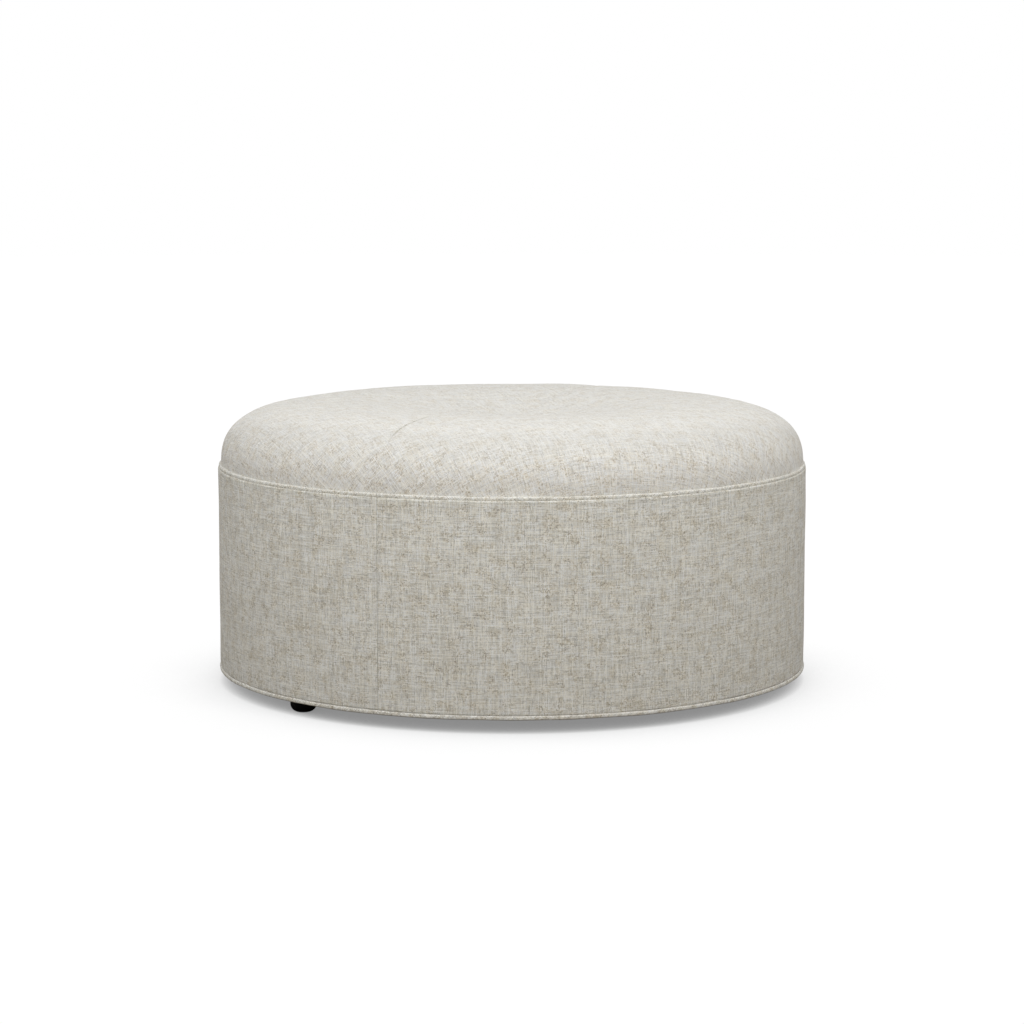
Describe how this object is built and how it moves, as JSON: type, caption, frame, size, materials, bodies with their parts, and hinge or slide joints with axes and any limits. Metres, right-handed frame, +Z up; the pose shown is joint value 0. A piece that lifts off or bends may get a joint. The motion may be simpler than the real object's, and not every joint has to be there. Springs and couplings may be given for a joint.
{
  "type": "ottoman coffee table",
  "caption": "Round upholstered ottoman coffee table: a domed cushion with a shallow tied dish and radial creases over a straight fabric drum, piped at both edges, on low round feet.",
  "frame": {"origin": "on the floor under the middle of the drum", "axes": "+Z up, front towards -Y, +X to the right seen from the front; the longer side of the feet's rectangle runs along X"},
  "size_m": [0.9164, 0.9164, 0.4318],
  "materials": {
    "cover_fabric": "heathered linen-look weave, warm pale grey",
    "piping_cord": "twisted cotton piping cord",
    "wadding": "white polyester fibre wadding",
    "foam": "open-cell upholstery foam",
    "hardboard": "smooth brown hardboard",
    "plywood": "unfinished plywood",
    "softwood": "planed softwood",
    "foot_plastic": "black moulded plastic, satin",
    "dust_cloth": "black nonwoven dust cloth",
    "twine": "waxed upholstery twine",
    "washer_plastic": "white moulded plastic",
    "steel": "zinc-plated steel"
  },
  "bodies": {
    "root": {"back_base_rail": "softwood", "back_deck_batten": "softwood", "base_board": "plywood", "base_rail_screws": "steel", "base_screws": "steel", "crown_wadding": "wadding", "cushion_cover": "cover_fabric", "deck_batten_screws": "steel", "deck_board": "plywood", "deck_screws": "steel", "drum_cover_back": "cover_fabric", "drum_cover_front": "cover_fabric", "drum_cover_left": "cover_fabric", "drum_cover_right": "cover_fabric", "dust_cover": "dust_cloth", "dust_cover_staples": "steel", "foot_back_left": "foot_plastic", "foot_back_right": "foot_plastic", "foot_front_left": "foot_plastic", "foot_front_right": "foot_plastic", "foot_screws": "steel", "front_base_rail": "softwood", "front_deck_batten": "softwood", "lower_welt": "cover_fabric", "lower_welt_cord": "piping_cord", "post_back": "softwood", "post_back_left": "softwood", "post_back_right": "softwood", "post_front": "softwood", "post_front_left": "softwood", "post_front_right": "softwood", "post_left": "softwood", "post_right": "softwood", "seat_foam": "foam", "side_padding_back": "wadding", "side_padding_front": "wadding", "side_padding_left": "wadding", "side_padding_right": "wadding", "side_panel_left": "hardboard", "side_panel_right": "hardboard", "side_panel_staples": "steel", "tie_twine": "twine", "tie_washer_lower": "washer_plastic", "tie_washer_upper": "washer_plastic", "upper_welt": "cover_fabric", "upper_welt_cord": "piping_cord"}
  },
  "joints": []
}
